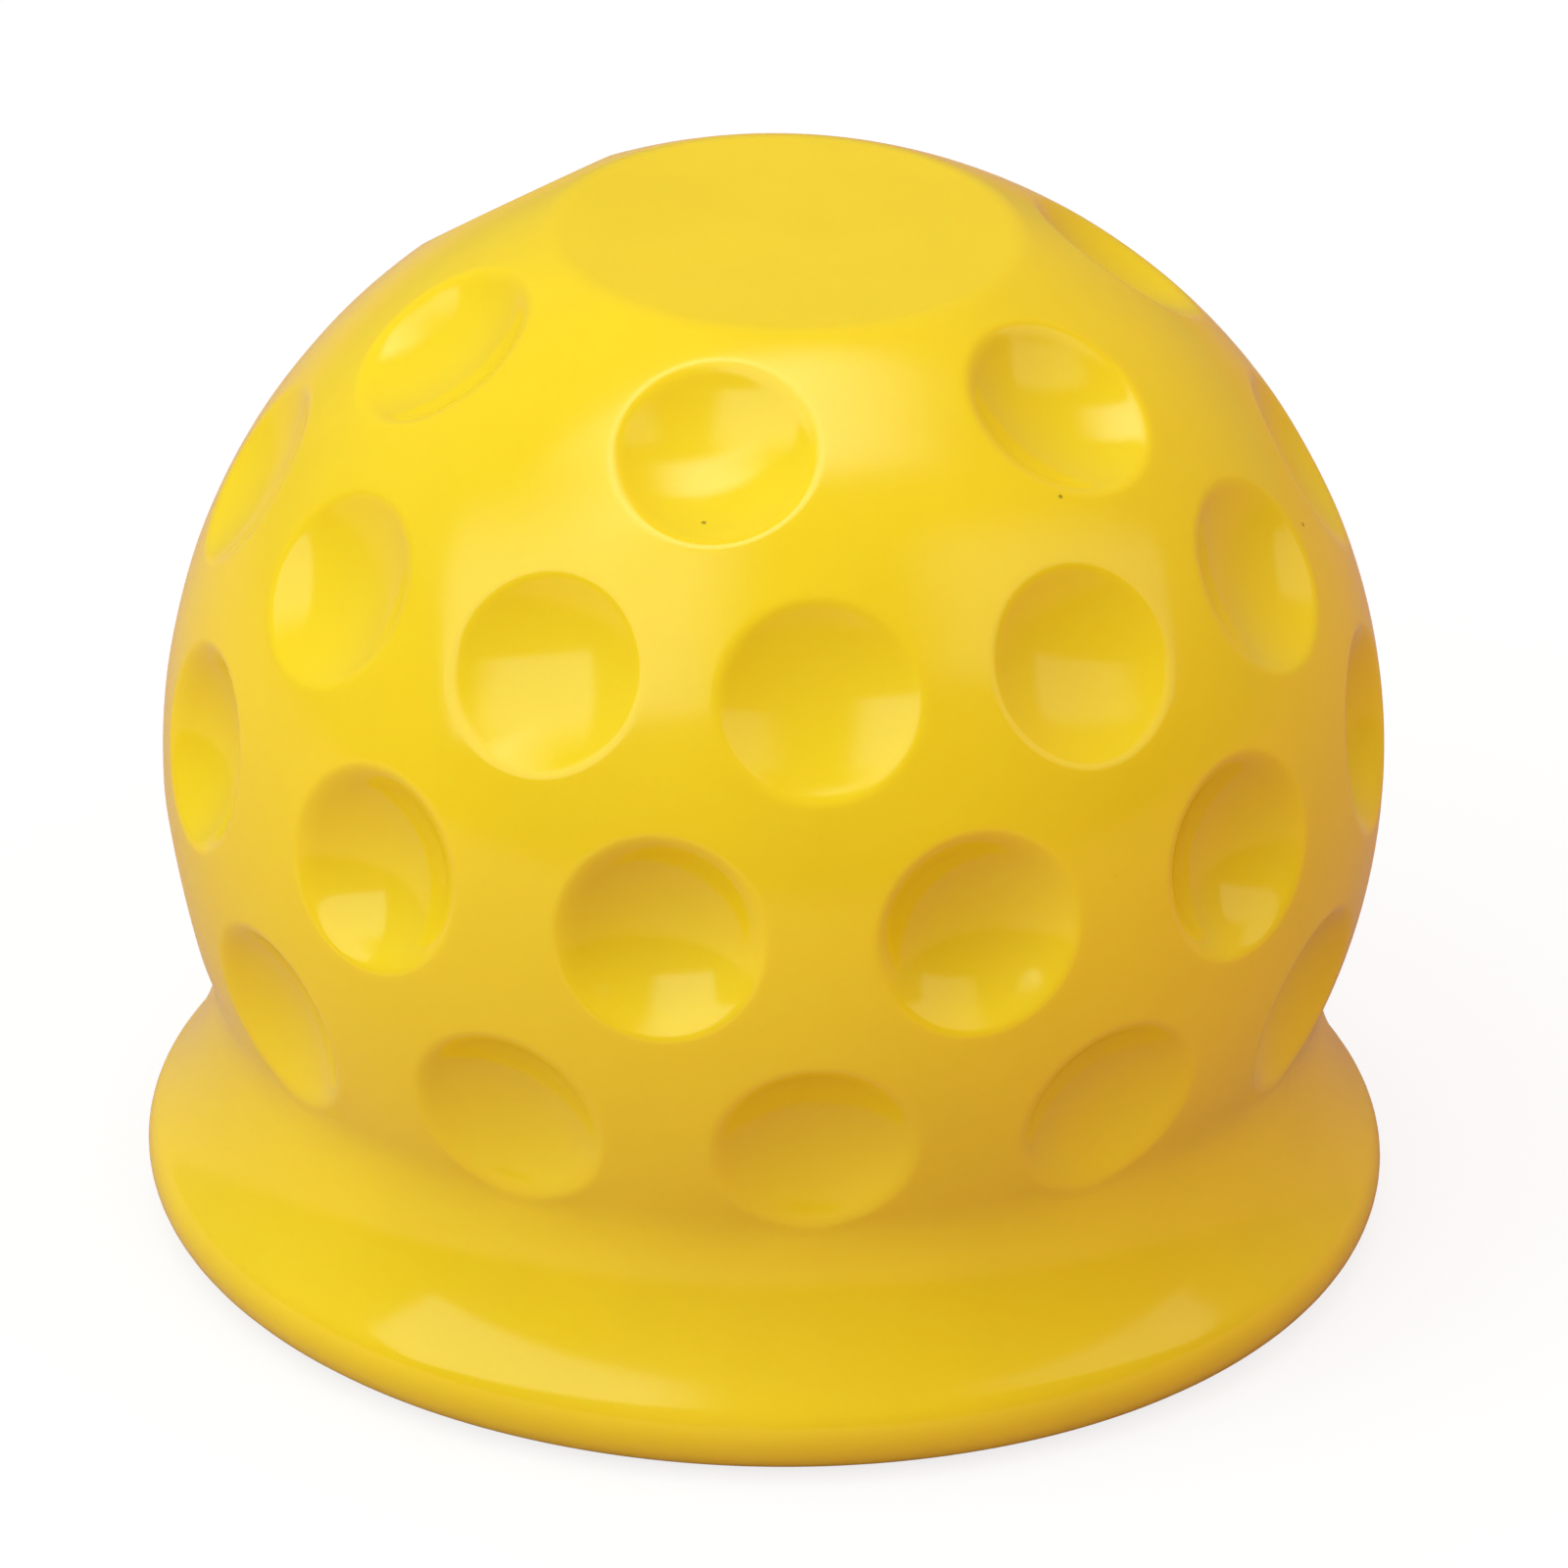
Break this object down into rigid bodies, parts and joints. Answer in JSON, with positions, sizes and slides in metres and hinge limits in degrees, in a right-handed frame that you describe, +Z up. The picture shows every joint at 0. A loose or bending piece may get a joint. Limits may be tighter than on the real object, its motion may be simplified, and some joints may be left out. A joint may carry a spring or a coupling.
{
  "type": "tow ball cover",
  "caption": "Soft one-piece cap for a tow bar's coupling ball: a dimpled ball with a flat crown on a flared round brim, hollow underneath to snap over the ball.",
  "frame": {"origin": "centre of the flat base under the brim", "axes": "+Z up along the axis of the ball and its cavity, towards the flat crown; -Y towards the front"},
  "size_m": [0.0674, 0.0674, 0.0573],
  "materials": {
    "soft_plastic": "satin"
  },
  "bodies": {
    "root": {"cover": "soft_plastic"}
  },
  "joints": []
}
